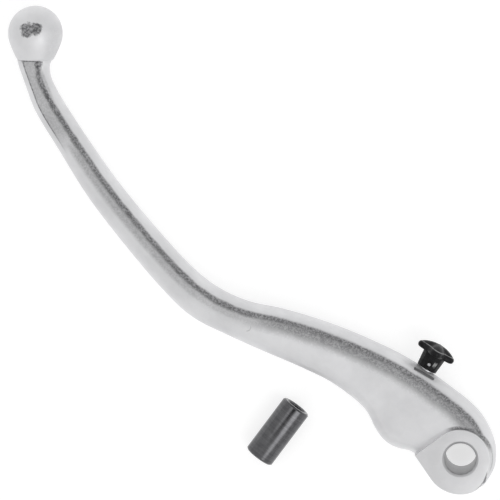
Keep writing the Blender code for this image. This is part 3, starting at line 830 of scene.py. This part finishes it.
def mark_painted_highlights(knob):
    """Painted highlight on the head's upper rim, and a painted reflection down one facet of the barrel."""
    layer = knob.data.attributes.new("painted_highlight", "FLOAT", "POINT")
    for v in knob.data.vertices:
        x, y, z = v.co / MM
        # Painted highlight along the rim; painted reflection on one facet
        rim = max(0.0, 1 - abs(z - 7.35) / 0.35) if hypot(x, y) > 3.6 else 0.0
        facet = 1.0 if x > 2.0 and 1.2 < y < 2.3 and 0.7 < z < 4.3 else 0.0
        layer.data[v.index].value = max(rim, facet)


def build_knob(plastic):
    head_low = KNOB_HEIGHT - KNOB_CROWN - KNOB_HEAD
    barrel = [(3.2, 0.0), (3.4, 0.06), (3.5, 0.3), (3.75, 2.7), (3.95, 4.8),
              (4.0, KNOB_BARREL_TOP)]
    head = [(0.90, head_low + 0.36), (0.955, head_low + 0.55), (0.985, head_low + 0.85),
            (1.0, head_low + 1.35), (0.99, head_low + 1.75), (0.96, head_low + 2.1),
            (0.90, head_low + 2.42), (0.80, 7.72), (0.68, 8.12), (0.55, 8.45), (0.42, 8.70),
            (0.28, 8.88), (0.12, 8.98)]
    profile = [(0, 0)] + barrel + head + [(0, KNOB_HEIGHT)]
    knob = finish_mesh(turned(profile, 144, knob_shape), "moulded_knob", plastic, 32)
    hole = turned(((0, -1), (KNOB_HOLE_RADIUS, -1), (KNOB_HOLE_RADIUS, KNOB_HOLE_TOP),
                   (0, KNOB_HOLE_TOP)), 48)
    hole = finish_mesh(hole, "knob_hole")
    reach = 6
    pin = turned(((0, -reach), (KNOB_PIN_RADIUS, -reach), (KNOB_PIN_RADIUS, reach), (0, reach)), 32)
    pin = finish_mesh(pin, "pin_hole")
    settle(pin, Matrix.Translation((0, 0, KNOB_PIN_HEIGHT * MM)) @ ACROSS)
    combine(knob, [hole, pin], "DIFFERENCE")
    mark_painted_highlights(knob)
    settle(knob, adjuster_matrix())
    knob.data.set_sharp_from_angle(angle=radians(32))
    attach(knob, "knob")
    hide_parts("adjuster_knob")


def dress(node, mat):
    """Give a CAD piece its material and leave its mesh alone."""
    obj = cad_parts[node]
    obj.data.materials.clear()
    obj.data.materials.append(mat)


# ---------------------------------------------------------------- stage

def build_floor():
    bm = bmesh.new()
    bmesh.ops.create_grid(bm, x_segments=1, y_segments=1, size=FLOOR_HALF_SIZE)
    mat, _, shader, _ = new_material("pale_floor", (FLOOR_TONE,) * 3, 0.0, 0.9)
    shader.inputs["Specular IOR Level"].default_value = 0.0
    shader.inputs["Emission Color"].default_value = (1, 1, 1, 1)
    shader.inputs["Emission Strength"].default_value = FLOOR_GLOW
    floor = finish_mesh(bm, "floor", mat)
    floor.location.z = -FLOOR_DROP


def build_light():
    """A white tent with two soft bright panels and a darker patch straight overhead."""
    world = bpy.data.worlds.new("tent")
    bpy.context.scene.world = world
    world.use_nodes = True
    tree = world.node_tree
    tree.nodes.clear()
    coords = tree.nodes.new("ShaderNodeTexCoord")
    unit = tree.nodes.new("ShaderNodeVectorMath")
    unit.operation = "NORMALIZE"
    tree.links.new(coords.outputs["Generated"], unit.inputs[0])

    def spot(direction, outer, inner, amount):
        """Light that fades in from the outer to the inner angle about a direction."""
        dot = tree.nodes.new("ShaderNodeVectorMath")
        dot.operation = "DOT_PRODUCT"
        dot.inputs[1].default_value = Vector(direction).normalized()
        tree.links.new(unit.outputs["Vector"], dot.inputs[0])
        return remap(tree, dot.outputs["Value"], cos(radians(outer)), cos(radians(inner)), 0.0, amount)

    main_panel = spot((0.45, -0.34, 0.8), 22, 8, 1.9)
    second_panel = spot((-0.28, 0.25, 0.9), 14, 5, 0.8)
    light = maths(tree, "ADD", main_panel, second_panel)
    light = maths(tree, "ADD", light, TENT_BRIGHTNESS)
    dark_patch = spot((0.05, 0.10, 1), 17, 8, 0.7)
    light = maths(tree, "SUBTRACT", light, dark_patch)
    background = tree.nodes.new("ShaderNodeBackground")
    output = tree.nodes.new("ShaderNodeOutputWorld")
    tree.links.new(light, background.inputs["Strength"])
    background.inputs["Color"].default_value = (1, 1, 1, 1)
    tree.links.new(background.outputs["Background"], output.inputs["Surface"])


def build_camera():
    """Nearly overhead, leaning a little towards +Y, with a long lens."""
    target = Vector(CAMERA_TARGET)
    back = Vector(CAMERA_BACK).normalized()
    data = bpy.data.cameras.new("camera")
    data.sensor_width = SENSOR_WIDTH
    data.lens = SENSOR_WIDTH * CAMERA_DISTANCE / VIEW_WIDTH
    camera = bpy.data.objects.new("camera", data)
    bpy.context.scene.collection.objects.link(camera)
    right = Vector((1, 0, 0))
    right = (right - back * right.dot(back)).normalized()
    up = back.cross(right)
    turn = Matrix((right, up, back)).transposed().to_4x4()
    camera.matrix_world = Matrix.Translation(target + back * CAMERA_DISTANCE) @ turn
    bpy.context.scene.camera = camera
    bpy.context.scene.view_settings.view_transform = "Standard"


def main():
    aluminium = lever_aluminium()
    machined = machined_aluminium()
    bush_steel = turned_steel("bush_steel", (0.09, 0.09, 0.095), (0.14, 0.14, 0.145), 0.15, 0.25,
                              BUSH_DIRECTION)
    bright = turned_steel("bright_steel", (0.48, 0.48, 0.5), (0.62, 0.62, 0.64), 0.22, 0.38,
                          ADJUSTER_DIRECTION)
    dark = turned_steel("plate_steel", (0.12, 0.12, 0.125), (0.2, 0.2, 0.205), 0.3, 0.45)
    rubber = black_rubber()
    build_lever(aluminium, machined, reamed_bore_painted_shade())
    build_bush(bush_steel)
    build_knob(moulded_plastic())
    for node in ("adjuster_screw", "knob_pin", "push_rod_cup", "cup_key_pin", "detent_ball",
                 "detent_spring"):
        dress(node, bright)
    for node in ("retaining_plate", "detent_plug"):
        dress(node, dark)
    dress("shank_o_ring", rubber)
    build_floor()
    build_light()
    build_camera()


main()
